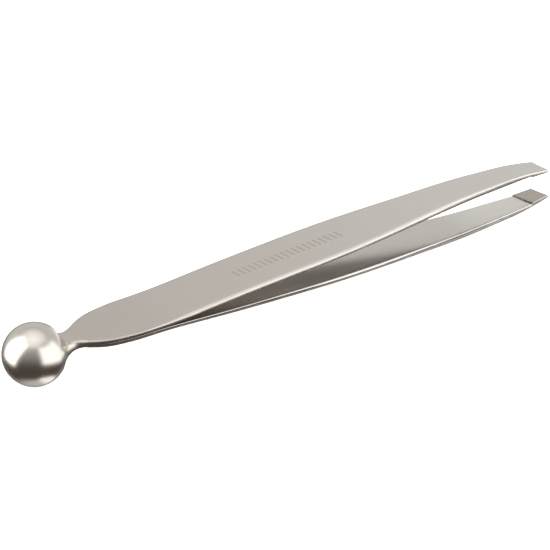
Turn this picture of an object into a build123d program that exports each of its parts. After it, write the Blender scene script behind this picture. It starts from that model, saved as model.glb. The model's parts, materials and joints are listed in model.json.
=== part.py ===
"""Slant-tip spring tweezers with a ball end.

Two bowed steel arms lie flat together at the rear, where their tails are brazed into a polished ball.
They part ahead of the weld, bow outwards and come back in to slanted, ground gripping pads.

The arms are drawn in their own frame, whose X axis runs along the plane where they meet. That plane
leans down towards the tips, as it does when the ball and the lower arm's bow lie on a table.

Frame: +X runs from the ball to the tips, +Y across the arms and +Z up, the way the upper arm opens.
The origin is on the table, under the middle of the whole length.
"""

import os
from math import asin, atan2, cos, degrees, hypot, radians, sin, tan

from build123d import *

os.makedirs("parts", exist_ok=True)

# Driving dimensions, in millimetres and degrees
overall_length = 100.0
ball_diameter = 10.3
ball_drop = 0.5  # the ball's centre is this far below the plane where the arms meet
arm_width = 10.2
tip_width = 3.4
tip_slant = 1.2  # the far corner of a tip stands this far behind its point
neck_width = 4.3
tail_width = 3.3
tail_sheet = 0.5  # thickness of an arm inside the neck and the ball
sheet = 0.65  # thickness of an arm at the rear
land_length = 6.0  # flat stretch of the bow, which lies on the table
land_height = 3.8  # its outer face above the meeting plane, at its middle
pad_length = 3.4
pad_gap = 4.4  # opening between the two pads at the tips
pad_rise = 0.25  # the pads open this much more from the tip to the start of the pad, on each arm
edge_round = 0.2
flexure_cut = 0.1  # clearance between the fixed and the moving stretch of an arm
blend_angle = 50.0  # where the neck leaves the ball, measured at its centre from the X axis
flare_reach = 4.15  # the middle of the neck's flare is this far in front of the ball's centre
flare_half_width = 3.0
flare_half_height = 2.35

# Places along the arms
tip_x = overall_length / 2
ball_x = ball_diameter / 2 - overall_length / 2
tail_x = ball_x + 2.5  # rear end of the tails, inside the ball
neck_x = ball_x + 5.95  # narrowest place, between the ball and the arms
lip_x = neck_x + 0.7  # the neck runs out flush with the arms' outer faces here
weld_x = -27.0  # the arms lie flat together up to here
flexure_x = -13.0  # middle of the stretch that bends when an arm is pressed
full_width_x = 3.0  # the arms keep their full width up to here
straight_taper_x = 26.0  # from here to the tip their sides are straight
land_x = 39.0
pad_x = tip_x - pad_length

# How the object lies: its ball and the flat of its bow both touch the table
ball_radius = ball_diameter / 2
land_reach = land_x - ball_x
land_depth = land_height - ball_drop
lie_angle = degrees(asin(ball_radius / hypot(land_reach, land_depth)) - atan2(land_depth, land_reach))
lie_slope = tan(radians(lie_angle))
meeting_height = land_x * sin(radians(lie_angle)) + land_height * cos(radians(lie_angle))

# An arm seen from the side: place, height of its outer face above the meeting plane, thickness
land_start = (land_x - land_length / 2, land_height + land_length / 2 * lie_slope, 1.0)
land_end = (land_x + land_length / 2, land_height - land_length / 2 * lie_slope, 0.95)
rear_bow = [(weld_x, sheet, sheet), (-16.0, 1.3, 0.7), (5.0, 2.53, 0.85), (25.0, 3.53, 0.95), land_start]
front_bow = [land_end, (pad_x, 3.3, 0.62), (tip_x, 2.72, 0.42)]

half_arm = arm_width / 2
half_tip = tip_width / 2
half_neck = neck_width / 2
half_tail = tail_width / 2
straight_taper_half = 3.72
taper_slope = (straight_taper_half - half_tip) / (tip_x - straight_taper_x)
slant_slope = tip_slant / tip_width

# The pads lean apart behind the tips, so that they grip at their front edges first
pad_slope = pad_rise / pad_length

blend_x = ball_radius * cos(radians(blend_angle))
blend_height = ball_radius * sin(radians(blend_angle))
blend_direction = (sin(radians(blend_angle)), -cos(radians(blend_angle)))

along = (cos(radians(lie_angle)), 0, -sin(radians(lie_angle)))
upward = (sin(radians(lie_angle)), 0, cos(radians(lie_angle)))
meeting_plane = Plane((0, 0, meeting_height), x_dir=along, z_dir=upward)
side_plane = Plane((0, 0, meeting_height), x_dir=along, z_dir=(0, -1, 0))
ball_centre = side_plane.from_local_coords((ball_x, -ball_drop))
ball_plane = Plane(ball_centre, x_dir=along, z_dir=(0, -1, 0))
flexure_plane = Plane(side_plane.from_local_coords((flexure_x, 0)), x_dir=(0, 1, 0), z_dir=along)


# The ground pad, which stands proud of the arm's inner face and ends in the same slant as the tip
with BuildPart() as pad:
    with BuildSketch(side_plane):
        with BuildLine():
            pad_back_x = pad_x - tip_slant
            Polyline((tip_x, pad_gap / 2), (tip_x, 2.5), (pad_back_x, 2.95),
                     (pad_back_x, pad_gap / 2 + (tip_x - pad_back_x) * pad_slope), close=True)
        make_face()
    extrude(amount=arm_width, both=True)
    with BuildSketch(meeting_plane):
        with BuildLine():
            near_back = (pad_x, -half_tip - pad_length * taper_slope)
            far_back = (pad_x - slant_slope * (tip_width + 2 * pad_length * taper_slope),
                        half_tip + (pad_length + tip_slant) * taper_slope)
            Polyline((tip_x, -half_tip), (tip_x - tip_slant, half_tip + tip_slant * taper_slope),
                     far_back, near_back, close=True)
        make_face()
    extrude(amount=arm_width, both=True, mode=Mode.INTERSECT)

# One whole arm, from the tail inside the ball to the tip
with BuildPart() as whole_arm:
    with BuildSketch(side_plane):
        with BuildLine():
            outer = Spline([(x, height) for x, height, thickness in rear_bow],
                           tangents=[(1, 0), (1, -lie_slope)])
            outer_front = Spline([(x, height) for x, height, thickness in front_bow],
                                 tangents=[(1, -lie_slope), (1, -0.18)])
            Line(outer @ 1, outer_front @ 0)
            inner = Spline([(x, height - thickness) for x, height, thickness in rear_bow + front_bow],
                           tangents=[(1, 0), (1, -0.15)])
            Line(inner @ 1, outer_front @ 1)
            Polyline(outer @ 0, (lip_x, sheet), (lip_x, tail_sheet), (tail_x, tail_sheet), (tail_x, 0),
                     inner @ 0)
        make_face()
    extrude(amount=arm_width, both=True)
    with BuildSketch(meeting_plane):
        with BuildLine():
            shoulder = Spline((neck_x, half_neck), (neck_x + 3.2, 3.46), (neck_x + 7.2, 4.69),
                              (weld_x, half_arm), tangents=[(1, 0), (1, 0)])
            taper = Spline((full_width_x, half_arm), (16, 4.58), (straight_taper_x, straight_taper_half),
                           tangents=[(1, 0), (1, -taper_slope)])
            Line(shoulder @ 1, taper @ 0)
            Line(taper @ 1, (tip_x, half_tip))
            Polyline(shoulder @ 0, (neck_x, half_tail), (tail_x, half_tail), (tail_x, 0), (tip_x, 0),
                     (tip_x, half_tip))
        make_face()
        mirror(about=Plane.XZ)
        with BuildLine():
            Polyline((tip_x, -half_tip), (tip_x, half_arm),
                     (tip_x - slant_slope * (half_tip + half_arm), half_arm), close=True)
        make_face(mode=Mode.SUBTRACT)
    extrude(amount=arm_width, both=True, mode=Mode.INTERSECT)
    long_edges = whole_arm.edges().filter_by(lambda edge: edge.length > 5 and abs(edge.center().Y) > 1)
    fillet(long_edges, edge_round)
    add(pad.part)

# The fixed rear stretch of the upper arm, welded to the lower one and brazed into the ball
with BuildPart() as upper_arm_root:
    add(whole_arm.part)
    split(bisect_by=flexure_plane.offset(-flexure_cut / 2), keep=Keep.BOTTOM)
upper_arm_root.part.label = "upper_arm_root"
export_step(upper_arm_root.part, "parts/upper_arm_root.step")

# The springing stretch of the upper arm, with its gripping pad
with BuildPart() as upper_arm_blade:
    add(whole_arm.part)
    split(bisect_by=flexure_plane.offset(flexure_cut / 2), keep=Keep.TOP)
upper_arm_blade.part.label = "upper_arm_blade"
export_step(upper_arm_blade.part, "parts/upper_arm_blade.step")

# The lower arm is the mirror image of the upper one
with BuildPart() as lower_arm_root:
    mirror(upper_arm_root.part, about=meeting_plane)
lower_arm_root.part.label = "lower_arm_root"
export_step(lower_arm_root.part, "parts/lower_arm_root.step")

with BuildPart() as lower_arm_blade:
    mirror(upper_arm_blade.part, about=meeting_plane)
lower_arm_blade.part.label = "lower_arm_blade"
export_step(lower_arm_blade.part, "parts/lower_arm_blade.step")

# The ball, with a flared neck that flattens onto the two arms, and a socket that holds their tails
with BuildPart() as ball_end:
    with BuildSketch(ball_plane):
        with BuildLine():
            CenterArc((0, 0), ball_radius, blend_angle, 180 - blend_angle)
            flare = Spline((blend_x, blend_height), (flare_reach, flare_half_width),
                           (neck_x - ball_x, half_neck), tangents=[blend_direction, (1, 0)])
            Polyline(flare @ 1, (lip_x - ball_x, half_neck), (lip_x - ball_x, 0), (-ball_radius, 0))
        make_face()
    revolve(axis=Axis(ball_centre, along))
    with BuildSketch(ball_plane):
        with BuildLine():
            top = Spline((blend_x, blend_height), (flare_reach, flare_half_height),
                         (lip_x - ball_x, ball_drop + sheet), tangents=[blend_direction, (1, -0.05)])
            bottom = Spline((blend_x, -blend_height), (flare_reach, -flare_half_height),
                            (lip_x - ball_x, ball_drop - sheet),
                            tangents=[(blend_direction[0], -blend_direction[1]), (1, 0.05)])
            Line(top @ 1, bottom @ 1)
            Polyline(top @ 0, (blend_x, ball_diameter), (-ball_diameter, ball_diameter),
                     (-ball_diameter, -ball_diameter), (blend_x, -ball_diameter), bottom @ 0)
        make_face()
    extrude(amount=ball_diameter, both=True, mode=Mode.INTERSECT)
    add(upper_arm_root.part, mode=Mode.SUBTRACT)
    add(lower_arm_root.part, mode=Mode.SUBTRACT)
ball_end.part.label = "ball_end"
export_step(ball_end.part, "parts/ball_end.step")
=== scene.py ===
"""Slant-tip spring tweezers with a ball end: the finished meshes, their steel, the studio and the camera.

The two arms and the ball end are drawn in millimetres in the arms' own frame: x along the plane where the
arms meet, y across them and h above that plane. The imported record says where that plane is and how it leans.
"""

import json
from math import cos, pi, radians, sin, tan

import bmesh
import bpy
import numpy as np
from mathutils import Matrix, Vector


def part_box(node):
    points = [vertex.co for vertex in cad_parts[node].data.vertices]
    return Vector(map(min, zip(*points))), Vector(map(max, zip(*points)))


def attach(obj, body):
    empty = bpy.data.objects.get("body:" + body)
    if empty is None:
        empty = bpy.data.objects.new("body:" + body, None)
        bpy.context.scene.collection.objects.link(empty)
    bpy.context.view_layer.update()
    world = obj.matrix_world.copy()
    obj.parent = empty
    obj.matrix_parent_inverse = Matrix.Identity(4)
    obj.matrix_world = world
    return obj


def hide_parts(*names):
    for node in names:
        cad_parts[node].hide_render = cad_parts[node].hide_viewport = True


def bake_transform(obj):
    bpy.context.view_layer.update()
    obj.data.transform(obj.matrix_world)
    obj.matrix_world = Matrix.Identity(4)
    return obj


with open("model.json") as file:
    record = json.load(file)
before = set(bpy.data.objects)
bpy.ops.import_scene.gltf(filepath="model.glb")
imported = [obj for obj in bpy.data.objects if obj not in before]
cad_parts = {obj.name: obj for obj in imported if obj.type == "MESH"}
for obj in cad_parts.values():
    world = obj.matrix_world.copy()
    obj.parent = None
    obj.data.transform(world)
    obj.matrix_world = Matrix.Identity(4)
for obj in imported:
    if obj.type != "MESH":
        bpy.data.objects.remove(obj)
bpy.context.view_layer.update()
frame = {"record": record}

MM = 0.001

# Sizes of the arms, in millimetres
ARM_WIDTH = 10.2
TIP_WIDTH = 3.4
STRAIGHT_TAPER_HALF = 3.72  # half of an arm's width where its sides start to run straight to the tip
TIP_SLANT = 1.2  # the far corner of a tip stands this far behind its point
NECK_WIDTH = 4.3
TAIL_WIDTH = 3.3
TAIL_SHEET = 0.5  # thickness of an arm inside the neck and the ball
TAIL_REACH = 2.5  # the tails start this far in front of the ball's centre
PAD_LENGTH = 3.4
PAD_GAP = 4.4
PAD_RISE = 0.25  # the pads open this much more from the tip to the start of the pad, on each arm
LAND_LENGTH = 6.0  # flat stretch of the bow, which lies on the table
LAND_HEIGHT = 3.8
REAR_ROUND = 0.13  # the tumbled long edges of an arm's outer face, where it is welded to the other one
NECK_ROUND = 0.45  # the same next to the neck
FRONT_ROUND = 0.24  # the same near the tip
SEAM_ROUND = 0.03  # the edges of an arm's inner face, where it is welded to the other one
INNER_ROUND = 0.14  # the same near the tip
# Along the middle of the bow the edges that face up are tumbled more, on either arm: (outer, inner)
UPPER_BOW_ROUND = (0.5, 0.14)
LOWER_BOW_ROUND = (0.18, 0.34)
TIP_ROUND = 0.1
NECK_PROUD = 0.015  # how far the neck stands over the arms before it runs out into them
NECK_COVER = 0.35  # the arms are this much smaller where the neck covers them
BLEND_ANGLE = 50.0  # where the neck leaves the ball, measured at its centre from the x axis
FLARE_REACH = 4.15  # the middle of the neck's flare is this far in front of the ball's centre
FLARE_HALF_WIDTH = 3.0
FLARE_HALF_HEIGHT = 2.35

# Places along the arms
TIP_X = 50.0
NECK_X = -38.9  # narrowest place, between the ball and the arms
TAIL_END_X = NECK_X + 0.3  # the hidden tail widens into the arm from here
ARM_START_X = NECK_X + 0.6  # to here
LIP_X = NECK_X + 0.7  # the neck has come down to the arms here
RUN_OUT_X = NECK_X + 3.0  # the neck's end, just under the arms' faces
WELD_X = -27.0  # the arms lie flat together up to here
FULL_WIDTH_X = 3.0  # the arms keep their full width up to here
STRAIGHT_TAPER_X = 26.0  # from here to the tip an arm's sides are straight
LAND_X = 39.0  # middle of the bow's flat
PAD_X = TIP_X - PAD_LENGTH

# Stretches over which the shape of the arms and of the neck changes
NECK_ROUND_FADES = (LIP_X, -33.0)
SEAM_ROUND_FADES = (-30.0, -18.0)
OUTER_ROUND_RISES = (-29.0, -16.0)
OUTER_ROUND_FALLS = (24.0, 44.0)
INNER_ROUND_RISES = (-8.0, 12.0)
INNER_ROUND_FALLS = (16.0, 34.0)
SLANT_SETS_IN = (PAD_X - 8.0, PAD_X - 1.0)
COVER_FADES = (RUN_OUT_X - 1.4, RUN_OUT_X - 0.7)
NECK_TURNS_BOXY = (NECK_X, RUN_OUT_X - 0.7)
NECK_SINKS = (RUN_OUT_X - 0.6, RUN_OUT_X)

# How finely the meshes are drawn
ARC_STEPS = 4  # faces round a rounded edge
FACE_STEPS = 10  # faces across the flat of an arm
RING = 64  # points round the ball and the neck
BALL_RINGS = 44
NECK_RINGS = 40
NECK_RING_SPREAD = 1.3  # over 1 draws the neck's rings closer together near the ball
PLANED_CORNER = 6  # a higher number makes a tighter corner where the neck's round is planed off
PLANED_FROM, PLANED_BY = 1.0, 1.3  # a ring starts to be planed, and wholly is, at this width over height
SHARP_ANGLE = radians(50)  # edges that bend more than this are shaded sharp

# The arms' frame, from the two flats at their rear
mounts = {mount["name"]: mount for mount in frame["record"]["mounts"]}
up = Vector(mounts["rear_top"]["axis"])
lie_slope = up.x / up.z
rear_top = Vector(mounts["rear_top"]["pos_m"]) / MM
rear_underside = Vector(mounts["rear_underside"]["pos_m"]) / MM
sheet = (rear_top - rear_underside).length / 2
middle = (rear_top + rear_underside) / 2
meeting_height = middle.z + middle.x * lie_slope
arm_turn = Matrix(((up.z, 0, up.x), (0, 1, 0), (-up.x, 0, up.z))).to_4x4()
arm_to_world = Matrix.Translation((0, 0, meeting_height * MM)) @ arm_turn @ Matrix.Scale(MM, 4)

ball_low, ball_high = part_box("ball_end")
ball_radius = (ball_high.z - ball_low.z) / 2 / MM
ball_centre = arm_to_world.inverted() @ Vector((ball_low.x + ball_radius * MM, 0, ball_radius * MM))

half_tip = TIP_WIDTH / 2
half_arm = ARM_WIDTH / 2
taper_slope = (STRAIGHT_TAPER_HALF - half_tip) / (TIP_X - STRAIGHT_TAPER_X)
slant_slope = TIP_SLANT / TIP_WIDTH
pad_slope = PAD_RISE / PAD_LENGTH


def smoothstep(value, low, high):
    """0 below low, 1 above high and a smooth rise between them."""
    t = np.clip((value - low) / (high - low), 0, 1)
    return t * t * (3 - 2 * t)


def clamped_spline(points, start_slope, end_slope):
    """The smooth curve through points of (place, value), with these slopes at its two ends."""
    places, values = (np.array(column, float) for column in zip(*points))
    steps = np.diff(places)
    rises = np.diff(values)
    count = len(places)
    system = np.eye(count)
    right = np.zeros(count)
    right[0], right[-1] = start_slope, end_slope
    for k in range(1, count - 1):
        before, after = steps[k - 1], steps[k]
        system[k, k - 1:k + 2] = 1 / before, 2 / before + 2 / after, 1 / after
        right[k] = 3 * (rises[k - 1] / before**2 + rises[k] / after**2)
    slopes = np.linalg.solve(system, right)

    def curve(x):
        x = np.clip(x, places[0], places[-1])
        k = np.clip(np.searchsorted(places, x) - 1, 0, count - 2)
        t = (x - places[k]) / steps[k]
        return ((1 + 2 * t) * (1 - t)**2 * values[k] + t * (1 - t)**2 * steps[k] * slopes[k]
                + t * t * (3 - 2 * t) * values[k + 1] - t * t * (1 - t) * steps[k] * slopes[k + 1])

    return curve


# An arm seen from the side: place, height of its outer face above the meeting plane, thickness
land_start = (LAND_X - LAND_LENGTH / 2, LAND_HEIGHT + LAND_LENGTH / 2 * lie_slope, 1.0)
land_end = (LAND_X + LAND_LENGTH / 2, LAND_HEIGHT - LAND_LENGTH / 2 * lie_slope, 0.95)
rear_bow = [(WELD_X, sheet, sheet), (-16.0, 1.3, 0.7), (5.0, 2.53, 0.85), (25.0, 3.53, 0.95), land_start]
front_bow = [land_end, (PAD_X, 3.3, 0.62), (TIP_X, 2.72, 0.42)]
outer_rear = clamped_spline([(x, height) for x, height, thickness in rear_bow], 0, -lie_slope)
outer_front = clamped_spline([(x, height) for x, height, thickness in front_bow], -lie_slope, -0.18)
inner_whole = clamped_spline([(x, height - thickness) for x, height, thickness in rear_bow + front_bow],
                             0, -0.15)

# Half of an arm's width, seen from above
shoulder = clamped_spline([(NECK_X, NECK_WIDTH / 2), (NECK_X + 3.2, 3.54), (NECK_X + 7.2, 4.72),
                           (WELD_X, half_arm)], 0, 0)
taper = clamped_spline([(FULL_WIDTH_X, half_arm), (16.0, 4.58), (STRAIGHT_TAPER_X, STRAIGHT_TAPER_HALF)],
                       0, -taper_slope)


def outer_height(x):
    """Height of an arm's outer face above the meeting plane."""
    land = LAND_HEIGHT - (x - LAND_X) * lie_slope
    return np.where(x < land_start[0], outer_rear(x), np.where(x < land_end[0], land, outer_front(x)))


def inner_height(x):
    """Height of an arm's inner face, without its pad."""
    return np.where(x < WELD_X, 0.0, inner_whole(x))


def pad_height(x):
    """Height of the pad's face, which leans away from the other one behind the tip."""
    return PAD_GAP / 2 + (TIP_X - x) * pad_slope


def half_width(x):
    """Half of an arm's width."""
    straight = STRAIGHT_TAPER_HALF - (x - STRAIGHT_TAPER_X) * taper_slope
    return np.where(x < WELD_X, shoulder(x), np.where(x < STRAIGHT_TAPER_X, taper(x), straight))


def outer_round(x, bow_round):
    """Rounding of the long edges of an arm's outer face, which is bow_round along the middle of the bow."""
    from_neck = (NECK_ROUND - REAR_ROUND) * (1 - smoothstep(x, *NECK_ROUND_FADES))
    into_bow = (bow_round - REAR_ROUND) * smoothstep(x, *OUTER_ROUND_RISES)
    to_front = (FRONT_ROUND - bow_round) * smoothstep(x, *OUTER_ROUND_FALLS)
    return REAR_ROUND + from_neck + into_bow + to_front


def inner_round(x, bow_round):
    """The same for the inner face."""
    from_seam = (INNER_ROUND - SEAM_ROUND) * smoothstep(x, *SEAM_ROUND_FADES)
    on_bow = smoothstep(x, *INNER_ROUND_RISES) * (1 - smoothstep(x, *INNER_ROUND_FALLS))
    return SEAM_ROUND + from_seam + (bow_round - INNER_ROUND) * on_bow


def make_piece(name, points, faces, attributes):
    """A mesh object from points and faces in the arms' frame, with its attributes stored at the points."""
    mesh = bpy.data.meshes.new(name)
    mesh.from_pydata([arm_to_world @ Vector(point) for point in points], [], faces)
    for title, values in attributes.items():
        kind, field = ("FLOAT_VECTOR", "vector") if np.ndim(values) == 2 else ("FLOAT", "value")
        layer = mesh.attributes.new(title, kind, "POINT")
        layer.data.foreach_set(field, np.asarray(values, np.float32).ravel())
    shape = bmesh.new()
    shape.from_mesh(mesh)
    bmesh.ops.recalc_face_normals(shape, faces=shape.faces)
    for edge in shape.edges:
        edge.smooth = edge.calc_face_angle(0) < SHARP_ANGLE
    shape.to_mesh(mesh)
    shape.free()
    mesh.polygons.foreach_set("use_smooth", [True] * len(mesh.polygons))
    piece = bpy.data.objects.new(name, mesh)
    bpy.context.scene.collection.objects.link(piece)
    evened = piece.modifiers.new("even_shading", "WEIGHTED_NORMAL")
    evened.weight = 80
    evened.keep_sharp = True
    return piece


def section_points():
    """Half of an arm's section, from one side to the other over a face, as (across, inset, depth, rim).

    Across is the side or the share of the flat face, inset and depth are in shares of the edge's rounding,
    and rim is 1 on the arm's narrow side.
    """
    turns = [pi / 2 * k / ARC_STEPS for k in range(ARC_STEPS + 1)]
    arc = [(1 - cos(turn), 1 - sin(turn), cos(turn)**2) for turn in turns]
    face = [(-1 + 2 * k / FACE_STEPS, 1, 0, 0) for k in range(1, FACE_STEPS)]
    rising = [(-1, *corner) for corner in arc]
    falling = [(1, *corner) for corner in reversed(arc)]
    return rising + face + falling


def stations():
    """Places of an arm's sections as rows of (place, narrowing of its section).

    They stand closer together at the neck and the pad. The short gap between two runs is the pad's step.
    """
    runs = [(ARM_START_X, WELD_X, 0.5), (WELD_X, STRAIGHT_TAPER_X, 1.0),
            (STRAIGHT_TAPER_X, PAD_X - 2, 0.75), (PAD_X - 2, PAD_X - 0.2, 0.3),
            (PAD_X - 0.2, PAD_X - 0.01, 0.19), (PAD_X + 0.03, PAD_X + 0.2, 0.17),
            (PAD_X + 0.2, TIP_X - TIP_ROUND, 0.25)]
    places = []
    for start, end, step in runs:
        count = max(2, round((end - start) / step) + 1)
        places += [x for x in np.linspace(start, end, count) if not places or x > places[-1] + 1e-6]
    rows = [(x, 0.0) for x in places]
    for k in range(1, ARC_STEPS + 1):
        turn = pi / 2 * k / ARC_STEPS
        rows.append((TIP_X - TIP_ROUND * (1 - sin(turn)), TIP_ROUND * (1 - cos(turn))))
    return np.array(rows)


def make_arm(name, side):
    """One arm as a continuous skin, from its tail to its slanted tip. Side is 1 above and -1 below."""
    rows = stations()
    place, narrowing = rows[:, :1], rows[:, 1:]
    across, inset, depth, rim = (np.array(column)[None, :] for column in zip(*section_points()))
    slant = smoothstep(place, *SLANT_SETS_IN)
    outer_bow_round, inner_bow_round = UPPER_BOW_ROUND if side > 0 else LOWER_BOW_ROUND
    rounding = {"outer": outer_round(place, outer_bow_round), "inner": inner_round(place, inner_bow_round)}
    covered = NECK_COVER * (1 - smoothstep(place, *COVER_FADES))
    halves = {}
    for face in rounding:
        reach = half_width(place) - inset * rounding[face] - narrowing
        x = place - slant_slope * (across * reach + half_tip) * slant
        y = across * (half_width(x) - inset * rounding[face] - narrowing - covered)
        if face == "outer":
            h = outer_height(x) - depth * rounding[face] - narrowing - covered / 2
        else:
            bare = np.where(place > PAD_X, pad_height(x), inner_height(x))
            h = bare + depth * rounding[face] + narrowing
        halves[face] = np.stack([x, y, h], axis=2)

    # The tail, which the neck and the ball hide
    tail = {}
    for face, level in (("outer", TAIL_SHEET), ("inner", 0.0)):
        flat = np.stack([0 * across[0], across[0] * TAIL_WIDTH / 2, level + 0 * across[0]], axis=1)
        tail[face] = np.stack([flat + [x, 0, 0] for x in (ball_centre.x + TAIL_REACH, TAIL_END_X)])
    rings = np.concatenate([np.concatenate([tail["outer"], halves["outer"]]),
                            np.concatenate([tail["inner"], halves["inner"]])[:, ::-1]], axis=1)
    count, size = rings.shape[:2]
    points = rings.reshape(-1, 3) * [1, 1, side]

    faces = []
    for row in range(count - 1):
        for k in range(size):
            here, following = row * size + k, row * size + (k + 1) % size
            faces.append((here, following, following + size, here + size))
    for row in (0, count - 1):
        for k in range(size // 2 - 1):
            faces.append([row * size + n for n in (k, k + 1, size - 2 - k, size - 1 - k)])

    on_pad = np.zeros((count, size))
    on_pad[-np.sum(rows[:, 0] > PAD_X):, size // 2:] = 1
    on_outer = np.tile(np.arange(size) < size // 2, (count, 1))
    whole_rim = np.tile(np.concatenate([rim[0], rim[0][::-1]]), (count, 1))
    attributes = {"rest": points, "rim": whole_rim.ravel(), "pad": on_pad.ravel(), "outer": on_outer.ravel()}
    return make_piece(name, points, faces, attributes)


def planed(height, limit, radius):
    """A height on a circle, drawn in under a limit with a soft corner once the circle reaches past it."""
    share = float(smoothstep(radius / limit, PLANED_FROM, PLANED_BY))
    drawn_in = height / (1 + abs(height / limit)**PLANED_CORNER)**(1 / PLANED_CORNER)
    return height + (drawn_in - height) * share


def ring_points(x, half, top, base, rounding, boxed):
    """One ring across the x axis, as a list of points.

    It is a circle with its top and base planed off, which turns into a rectangle with rounded corners as
    boxed goes from 0 to 1.
    """
    points = []
    for k in range(RING):
        turn = 2 * pi * (k + 0.5) / RING
        right, above = (1 if cos(turn) > 0 else -1), (1 if sin(turn) > 0 else -1)
        limit = top - ball_centre.z if above > 0 else ball_centre.z - base
        round_y = half * cos(turn)
        round_h = ball_centre.z + planed(half * sin(turn), limit, half)
        box_y = (half - rounding) * right + rounding * cos(turn)
        box_h = (top + base) / 2 + ((top - base) / 2 - rounding) * above + rounding * sin(turn)
        points.append((x, round_y + (box_y - round_y) * boxed, round_h + (box_h - round_h) * boxed))
    return points


def make_ball_end():
    """The ball and its flared neck, which flattens and runs out into the faces of the two arms."""
    start_angle = radians(BLEND_ANGLE)
    start_x = ball_centre.x + ball_radius * cos(start_angle)
    start_radius = ball_radius * sin(start_angle)
    start_slope = -1 / tan(start_angle)
    flare_x = ball_centre.x + FLARE_REACH
    neck_half = clamped_spline([(start_x, start_radius), (flare_x, FLARE_HALF_WIDTH),
                                (NECK_X, NECK_WIDTH / 2 + NECK_PROUD)], start_slope, 0)
    neck_top = clamped_spline([(start_x, ball_centre.z + start_radius),
                               (flare_x, ball_centre.z + FLARE_HALF_HEIGHT),
                               (LIP_X, sheet + NECK_PROUD)], start_slope, -0.05)
    neck_base = clamped_spline([(start_x, ball_centre.z - start_radius),
                                (flare_x, ball_centre.z - FLARE_HALF_HEIGHT),
                                (LIP_X, -sheet - NECK_PROUD)], -start_slope, 0.05)

    rings, finish = [], []
    for k in range(1, BALL_RINGS + 1):
        angle = pi - (pi - start_angle) * k / BALL_RINGS
        radius = ball_radius * sin(angle)
        rings.append(ring_points(ball_centre.x + ball_radius * cos(angle), radius, ball_centre.z + radius,
                                 ball_centre.z - radius, radius, 0.0))
        finish.append(0.0)
    for k in range(1, NECK_RINGS + 1):
        x = start_x + (RUN_OUT_X - start_x) * (k / NECK_RINGS)**NECK_RING_SPREAD
        sunk = 2 * NECK_PROUD * float(smoothstep(x, *NECK_SINKS))
        half = float(neck_half(x) if x < NECK_X else half_width(x) + NECK_PROUD) - sunk
        top, base = float(neck_top(x)) - sunk, float(neck_base(x)) + sunk
        boxed = float(smoothstep(x, *NECK_TURNS_BOXY))
        rings.append(ring_points(x, half, top, base, float(outer_round(x, REAR_ROUND)), boxed))
        finish.append(float(smoothstep(x, start_x, LIP_X)))

    pole = (ball_centre.x - ball_radius, 0, ball_centre.z)
    points = [pole] + [point for ring in rings for point in ring]
    faces = [(0, 1 + k, 1 + (k + 1) % RING) for k in range(RING)]
    for row in range(len(rings) - 1):
        for k in range(RING):
            here, following = 1 + row * RING + k, 1 + row * RING + (k + 1) % RING
            faces.append((here, following, following + RING, here + RING))
    last = 1 + (len(rings) - 1) * RING
    quarter = RING // 4
    for k in range(-quarter, quarter - 1):
        left, right = k % RING, (k + 1) % RING
        faces.append([last + n for n in (left, right, RING // 2 - 2 - k, RING // 2 - 1 - k)])
    attributes = {"rest": points, "finish": [0.0] + [share for share in finish for _ in range(RING)]}
    return make_piece("ball_with_neck", points, faces, attributes)


class Nodes:
    """Short calls that add shader nodes to one tree.

    A value may be a number, a colour or another node's output.
    """

    def __init__(self, tree):
        self.tree = tree
        tree.nodes.clear()

    def add(self, kind, inputs=None, **settings):
        """A new node with these settings, and with its inputs set or linked."""
        node = self.tree.nodes.new(kind)
        for name, value in settings.items():
            setattr(node, name, value)
        for name, value in (inputs or {}).items():
            if isinstance(value, bpy.types.NodeSocket):
                self.tree.links.new(value, node.inputs[name])
            else:
                node.inputs[name].default_value = value
        return node

    def math(self, operation, *values):
        return self.add("ShaderNodeMath", dict(enumerate(values)), operation=operation).outputs[0]

    def smooth(self, value, low, high, start=0.0, end=1.0):
        """From start to end as value goes from low to high, with soft ends."""
        inputs = {"Value": value, "From Min": low, "From Max": high, "To Min": start, "To Max": end}
        return self.add("ShaderNodeMapRange", inputs, interpolation_type="SMOOTHSTEP").outputs[0]

    def window(self, value, low, high, soft):
        """1 between low and high, with edges that fade over soft."""
        rise = self.smooth(value, low - soft / 2, low + soft / 2)
        fall = self.smooth(value, high - soft / 2, high + soft / 2, 1.0, 0.0)
        return self.math("MULTIPLY", rise, fall)

    def mix(self, share, first, second, blend="MIX"):
        node = self.add("ShaderNodeMix", {0: share, 6: first, 7: second}, data_type="RGBA", blend_type=blend)
        return node.outputs[2]

    def stored(self, name, output="Fac"):
        return self.add("ShaderNodeAttribute", attribute_name=name).outputs[output]

    def turned(self, place, degrees_about_h, scale):
        """Texture coordinates turned about h and stretched by scale along each axis."""
        inputs = {"Vector": place, "Rotation": (0, 0, radians(degrees_about_h)), "Scale": scale}
        return self.add("ShaderNodeMapping", inputs, vector_type="POINT").outputs[0]

    def noise(self, place, scale, detail=2.0, roughness=0.5):
        inputs = {"Vector": place, "Scale": scale, "Detail": detail, "Roughness": roughness}
        return self.add("ShaderNodeTexNoise", inputs).outputs[0]

    def centred(self, value, amount):
        """Noise from 0 to 1 as a swing of about amount to either side of 0."""
        return self.math("MULTIPLY", self.math("SUBTRACT", value, 0.5), 2 * amount)

    def total(self, *values):
        result = values[0]
        for value in values[1:]:
            result = self.math("ADD", result, value)
        return result

    def product(self, *values):
        result = values[0]
        for value in values[1:]:
            result = self.math("MULTIPLY", result, value)
        return result


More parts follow.
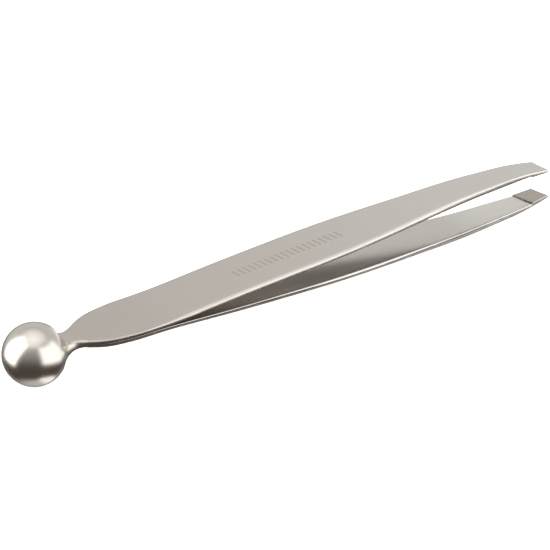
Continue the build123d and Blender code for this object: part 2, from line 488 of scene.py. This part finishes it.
def scratches(nodes, place, degrees_about_h, along_scale, across_scale, width, keep):
    """Sparse hairlines that run at an angle to the arm. Keep is the share of the surface that has them."""
    stretched = nodes.turned(place, degrees_about_h, (along_scale, across_scale, across_scale))
    wide = nodes.noise(stretched, 1.0, 1.0)
    ridge = nodes.math("ABSOLUTE", nodes.math("SUBTRACT", wide, 0.5))
    line = nodes.smooth(ridge, width, 0.0)
    patch = nodes.smooth(nodes.noise(place, 0.11, 2.0), 1 - keep - 0.08, 1 - keep + 0.08)
    return nodes.product(line, patch)


def finish_metal(nodes, colour, roughness, height, relief):
    """The metal shader that ends a material's tree. Relief is the depth in millimetres of a height of 1."""
    raised = nodes.add("ShaderNodeBump", {"Strength": 1.0, "Distance": relief * MM, "Height": height})
    inputs = {"Base Color": colour, "Roughness": roughness, "Normal": raised.outputs[0], "Metallic": 1.0}
    shader = nodes.add("ShaderNodeBsdfPrincipled", inputs)
    nodes.add("ShaderNodeOutputMaterial", {"Surface": shader.outputs[0]})


# Colours as linear red, green, blue and opacity
WHITE = (1, 1, 1, 1)
PAPER = (0.93, 0.93, 0.93, 1)
STEEL = (0.665, 0.632, 0.592, 1)
# The next two are painted shade towards the arms' rear, which the neck takes too, and painted light towards
# their tips
STEEL_REAR_PAINTED_SHADE = (0.58, 0.548, 0.512, 1)
STEEL_TIP_PAINTED_LIGHT = (0.73, 0.715, 0.69, 1)
STEEL_DARK = (0.48, 0.45, 0.415, 1)
# Painted sheen on the narrow sides and painted light on the front of the inner faces
STEEL_PAINTED_SHEEN = (0.84, 0.825, 0.80, 1)
# Painted shadow on the wall of each pad's step
STEP_PAINTED_SHADOW = (0.06, 0.055, 0.05, 1)
SATIN_ROUGHNESS = 0.33
POLISHED_ROUGHNESS = 0.25
SATIN_RELIEF = 0.012
POLISHED_RELIEF = 0.006


def etched_hatch(nodes, place):
    """A plain band of fine slanted strokes across the middle of the upper arm, 1 where it is etched."""
    band_start, band_end, band_half = -9.0, 11.0, 0.95
    pitch, lean = 1.0, 0.3
    x, y, h = nodes.add("ShaderNodeSeparateXYZ", {"Vector": place}).outputs
    leaning = nodes.math("ADD", x, nodes.product(y, lean))
    phase = nodes.math("FRACT", nodes.math("DIVIDE", nodes.math("ADD", leaning, 100.0), pitch))
    stroke = nodes.window(phase, 0.3, 0.66, 0.12)
    long_band = nodes.window(leaning, band_start, band_end, 0.02)
    cross_band = nodes.window(y, -band_half, band_half, 0.12)
    upper_arm = nodes.math("GREATER_THAN", h, 0.0)
    worn = nodes.smooth(nodes.noise(place, 0.9, 3.0), 0.25, 0.5, 0.55, 1.0)
    return nodes.product(stroke, long_band, cross_band, upper_arm, nodes.stored("outer"), worn)


def make_satin_steel():
    """Stainless sheet with a fine lengthwise grain, faint clouding, hairlines, tumbled edges and ground pads.

    Painted shade darkens the metal towards the rear, and painted light brightens it towards the tips. A
    painted sheen brightens the narrow sides towards the front and painted light the front of the inner faces;
    painted shade darkens the inner faces near the weld and the wall of each pad's step.
    """
    material = bpy.data.materials.new("satin_steel")
    material.use_nodes = True
    nodes = Nodes(material.node_tree)
    place = nodes.stored("rest", "Vector")
    pad = nodes.smooth(nodes.stored("pad"), 0.4, 0.6)
    along = nodes.add("ShaderNodeSeparateXYZ", {"Vector": place}).outputs[0]

    grain = nodes.noise(nodes.turned(place, 0, (0.10, 4.2, 4.2)), 1.0, 5.0, 0.65)
    fine_grain = nodes.noise(nodes.turned(place, 2, (0.5, 17.0, 17.0)), 1.0, 3.0, 0.6)
    clouds = nodes.noise(place, 0.16, 3.0, 0.55)
    mottle = nodes.noise(place, 1.3, 3.0, 0.6)
    long_lines = scratches(nodes, place, 5, 0.06, 1.3, 0.006, 0.42)
    cross_lines = scratches(nodes, place, -38, 0.12, 0.9, 0.005, 0.3)
    lines = nodes.math("MAXIMUM", long_lines, cross_lines)
    pad_grain = nodes.noise(nodes.turned(place, 20, (9.0, 0.6, 0.6)), 1.0, 3.0, 0.6)
    hatch = etched_hatch(nodes, place)
    step = nodes.product(nodes.window(nodes.stored("pad"), 0.03, 0.97, 0.04),
                         nodes.math("SUBTRACT", 1.0, nodes.stored("rim")))
    inside = nodes.smooth(nodes.stored("outer"), 0.6, 0.4)
    # The narrow sides, more towards the front: below they get a painted sheen and more roughness
    rim = nodes.product(nodes.stored("rim"), nodes.smooth(along, -20.0, 34.0))

    # Painted shade on the inner faces between the arms, deepening towards the weld
    painted_shade_between_arms = nodes.product(inside, nodes.smooth(along, -2.0, -20.0))
    dark_share = nodes.total(0.08, nodes.centred(grain, 0.13), nodes.centred(clouds, 0.14),
                             nodes.product(painted_shade_between_arms, 0.6), nodes.centred(mottle, 0.05),
                             nodes.product(lines, 0.16), nodes.product(hatch, 1.5), nodes.product(pad, 0.8))
    # Painted shade towards the rear of the arms and painted light towards their tips
    base_with_painted_shading = nodes.mix(nodes.smooth(along, -42.0, 58.0), STEEL_REAR_PAINTED_SHADE, STEEL_TIP_PAINTED_LIGHT)
    colour = nodes.mix(nodes.math("MAXIMUM", dark_share, 0.0), base_with_painted_shading, STEEL_DARK)
    # Painted light on the front of the inner faces, away from the pads
    painted_light_inner_front = nodes.product(inside, nodes.smooth(along, 29.0, 40.0, 0.0, 0.8),
                                 nodes.math("SUBTRACT", 1.0, pad))
    # Painted sheen on the narrow sides together with the painted light on the inner faces' front
    painted_sheen_and_light = nodes.math("MAXIMUM", nodes.product(rim, 0.3), painted_light_inner_front)
    colour = nodes.mix(painted_sheen_and_light, colour, STEEL_PAINTED_SHEEN)
    # Painted shadow on the wall of the pad's step
    colour = nodes.mix(step, colour, STEP_PAINTED_SHADOW)

    roughness = nodes.total(SATIN_ROUGHNESS, nodes.centred(grain, 0.06), nodes.centred(clouds, 0.035),
                            nodes.centred(mottle, 0.03), nodes.product(lines, 0.05),
                            nodes.product(hatch, 0.14), nodes.product(pad, 0.05),
                            nodes.product(inside, -0.12), nodes.product(rim, 0.15))
    smoother = nodes.math("SUBTRACT", 1.0, nodes.math("MAXIMUM", pad, nodes.product(inside, 0.75)))
    lengthwise = nodes.product(nodes.total(grain, nodes.product(fine_grain, 0.6)), smoother)
    height = nodes.total(lengthwise, nodes.product(pad_grain, pad, 2.2), nodes.product(lines, -0.5),
                         nodes.product(hatch, -0.5))
    finish_metal(nodes, colour, roughness, height, SATIN_RELIEF)
    return material


def make_polished_steel():
    """The ball's soft polish, with faint buffing marks, that turns satin along the neck and takes the arms'
    painted rear shade there.
    """
    material = bpy.data.materials.new("polished_steel")
    material.use_nodes = True
    nodes = Nodes(material.node_tree)
    place = nodes.stored("rest", "Vector")
    satin = nodes.stored("finish")
    clouds = nodes.noise(place, 0.35, 3.0, 0.55)
    buffing = nodes.noise(nodes.turned(place, 35, (0.8, 6.0, 6.0)), 1.0, 4.0, 0.6)
    speckle = nodes.noise(place, 6.0, 2.0, 0.6)
    lines = scratches(nodes, place, 62, 0.2, 1.6, 0.006, 0.4)

    dark_share = nodes.total(0.06, nodes.centred(clouds, 0.10), nodes.centred(buffing, 0.06),
                             nodes.centred(speckle, 0.03), nodes.product(lines, 0.12))
    # Along the neck the colour turns to the arms' painted rear shade
    base_with_painted_shading = nodes.mix(satin, STEEL, STEEL_REAR_PAINTED_SHADE)
    colour = nodes.mix(nodes.math("MAXIMUM", dark_share, 0.0), base_with_painted_shading, STEEL_DARK)
    base_roughness = nodes.smooth(satin, 0.0, 1.0, POLISHED_ROUGHNESS, SATIN_ROUGHNESS)
    roughness = nodes.total(base_roughness, nodes.centred(clouds, 0.03), nodes.centred(buffing, 0.03),
                            nodes.product(lines, 0.04))
    height = nodes.total(nodes.product(buffing, 0.5), nodes.product(speckle, 0.25),
                         nodes.product(lines, -0.4))
    finish_metal(nodes, colour, roughness, height, POLISHED_RELIEF)
    return material


FLOOR_REACH = 3.0  # half of its side, in metres
FLOOR_GLOW = 0.9  # light of its own, which drowns the object's shadow as the photo does


def make_floor():
    """A plain pale floor. It stays out of the steel's reflections, which the studio around it gives."""
    mesh = bpy.data.meshes.new("floor")
    signs = [(-1, -1), (1, -1), (1, 1), (-1, 1)]
    corners = [(right * FLOOR_REACH, away * FLOOR_REACH, 0) for right, away in signs]
    mesh.from_pydata(corners, [], [(0, 1, 2, 3)])
    floor = bpy.data.objects.new("floor", mesh)
    bpy.context.scene.collection.objects.link(floor)
    material = bpy.data.materials.new("pale_floor")
    material.use_nodes = True
    nodes = Nodes(material.node_tree)
    paper = nodes.add("ShaderNodeBsdfDiffuse", {"Color": PAPER}).outputs[0]
    glow = nodes.add("ShaderNodeEmission", {"Color": WHITE, "Strength": FLOOR_GLOW}).outputs[0]
    lit_paper = nodes.add("ShaderNodeAddShader", {0: paper, 1: glow}).outputs[0]
    nodes.add("ShaderNodeOutputMaterial", {"Surface": lit_paper})
    mesh.materials.append(material)
    floor.visible_glossy = False


# The camera, in degrees and millimetres
CAMERA_TURN = 28.98
CAMERA_TILT = 34.0
CAMERA_ROLL = -2.64
CAMERA_DISTANCE = 667.4
AIM_ACROSS = -1.148
AIM_UP = -1.19
LENS = 272.8
SENSOR_WIDTH = 36.0
CLIP_START, CLIP_END = 0.02, 20.0  # in metres


def make_camera():
    """The camera, with the tweezers lying away from it to the right."""
    turn, tilt, roll = radians(CAMERA_TURN), radians(CAMERA_TILT), radians(CAMERA_ROLL)
    level = Vector((cos(turn), -sin(turn), 0))
    inward = Vector((sin(turn), cos(turn), 0))
    forward = inward * cos(tilt) - Vector((0, 0, sin(tilt)))
    upright = inward * sin(tilt) + Vector((0, 0, cos(tilt)))
    right = level * cos(roll) + upright * sin(roll)
    top = upright * cos(roll) - level * sin(roll)
    data = bpy.data.cameras.new("camera")
    data.lens = LENS
    data.sensor_width = SENSOR_WIDTH
    data.clip_start, data.clip_end = CLIP_START, CLIP_END
    camera = bpy.data.objects.new("camera", data)
    bpy.context.scene.collection.objects.link(camera)
    place = Vector((0, 0, meeting_height)) + right * AIM_ACROSS + top * AIM_UP - forward * CAMERA_DISTANCE
    axes = Matrix((right, top, -forward)).transposed().to_4x4()
    camera.matrix_world = Matrix.Translation(place * MM) @ axes
    bpy.context.scene.camera = camera


# How bright the studio is at each height above the horizon, as (degrees, level)
FRONT_LEVELS = [(-90, 0.75), (-74, 0.65), (-57, 0.07), (-14, 0.075), (3, 0.15), (18, 0.28), (50, 0.48),
                (63, 1.2), (90, 1.6)]
BACK_LEVELS = [(-90, 0.75), (-65, 0.5), (-40, 0.2), (-18, 0.3), (0, 0.7), (20, 0.77), (35, 0.69),
               (44, 0.7), (56, 1.1), (90, 1.6)]
LEVEL_SCALE = 2.0  # the ramps hold levels up to this one
DARK_LEVEL = 0.1  # levels below this one are tinted brown
DARK_TINT = (1.17, 1.0, 0.84)
WARM_TINT = (1.0, 0.975, 0.94, 1)


def make_studio():
    """A soft studio around the object: a pale back wall, a darker front, and soft light boxes.

    A bearing of 0 lies towards the camera and grows towards its right. The camera itself sees plain white in
    place of the studio.
    """
    world = bpy.data.worlds.new("studio")
    world.use_nodes = True
    bpy.context.scene.world = world
    nodes = Nodes(world.node_tree)
    direction = nodes.add("ShaderNodeTexCoord").outputs["Generated"]
    turned = nodes.add("ShaderNodeVectorRotate", {"Vector": direction, "Angle": radians(CAMERA_TURN)},
                       rotation_type="Z_AXIS").outputs[0]
    x, y, z = nodes.add("ShaderNodeSeparateXYZ", {"Vector": turned}).outputs
    bearing = nodes.math("DEGREES", nodes.math("ARCTAN2", x, nodes.product(y, -1.0)))
    elevation = nodes.math("DEGREES", nodes.math("ARCSINE", z))

    def levels(stops):
        rising = nodes.smooth(elevation, -90.0, 90.0)
        rising.node.interpolation_type = "LINEAR"
        ramp = nodes.add("ShaderNodeValToRGB", {"Fac": rising})
        elements = ramp.color_ramp.elements
        while len(elements) < len(stops):
            elements.new(0.5)
        for element, (height, level) in zip(elements, stops):
            element.position = (height + 90) / 180
            tint = DARK_TINT if level < DARK_LEVEL else (1, 1, 1)
            element.color = tuple(level / LEVEL_SCALE * channel for channel in tint) + (1,)
        return ramp.outputs[0]

    reach = nodes.smooth(elevation, -20.0, 20.0, 122.0, 80.0)
    beyond = nodes.math("SUBTRACT", nodes.math("ABSOLUTE", bearing), reach)
    in_front = nodes.smooth(beyond, 18.0, -18.0)
    surround = nodes.mix(in_front, levels(BACK_LEVELS), levels(FRONT_LEVELS))
    left_lean = nodes.math("SUBTRACT", bearing, nodes.product(elevation, 0.35))
    left_side = nodes.product(nodes.smooth(bearing, -128.0, -110.0),
                              nodes.smooth(left_lean, -54.0, -66.0))
    left_box = nodes.product(left_side, nodes.window(elevation, -18.0, 62.0, 14.0))
    right_lean = nodes.math("ADD", elevation, nodes.product(bearing, 0.28))
    right_box = nodes.product(nodes.window(bearing, 29.0, 108.0, 18.0),
                              nodes.window(right_lean, 1.0, 62.0, 14.0))
    side_box = nodes.product(nodes.window(bearing, 100.0, 160.0, 16.0),
                             nodes.window(elevation, -25.0, 3.0, 10.0))
    low_box = nodes.product(nodes.window(bearing, 24.0, 150.0, 24.0),
                            nodes.window(elevation, -78.0, -60.0, 5.0))
    light = surround
    for box, level in ((left_box, 2.8), (right_box, 1.85), (side_box, 1.5), (low_box, 1.5)):
        light = nodes.mix(box, light, (level / LEVEL_SCALE,) * 3 + (1,))
    warm = nodes.mix(1.0, light, WARM_TINT, "MULTIPLY")
    seen = nodes.add("ShaderNodeBackground", {"Color": WHITE, "Strength": 1.0}).outputs[0]
    lit = nodes.add("ShaderNodeBackground", {"Color": warm, "Strength": LEVEL_SCALE}).outputs[0]
    to_camera = nodes.add("ShaderNodeLightPath").outputs["Is Camera Ray"]
    both = nodes.add("ShaderNodeMixShader", {0: to_camera, 1: lit, 2: seen}).outputs[0]
    nodes.add("ShaderNodeOutputWorld", {"Surface": both})


satin_steel = make_satin_steel()
polished_steel = make_polished_steel()

for position, side in (("upper", 1), ("lower", -1)):
    arm = make_arm(position + "_arm_sprung", side)
    arm.data.materials.append(satin_steel)
    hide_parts(position + "_arm_root", position + "_arm_blade")
    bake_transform(arm)

ball = make_ball_end()
ball.data.materials.append(polished_steel)
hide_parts("ball_end")
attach(ball, "root")

make_floor()
make_studio()
make_camera()
bpy.context.scene.view_settings.view_transform = "Standard"
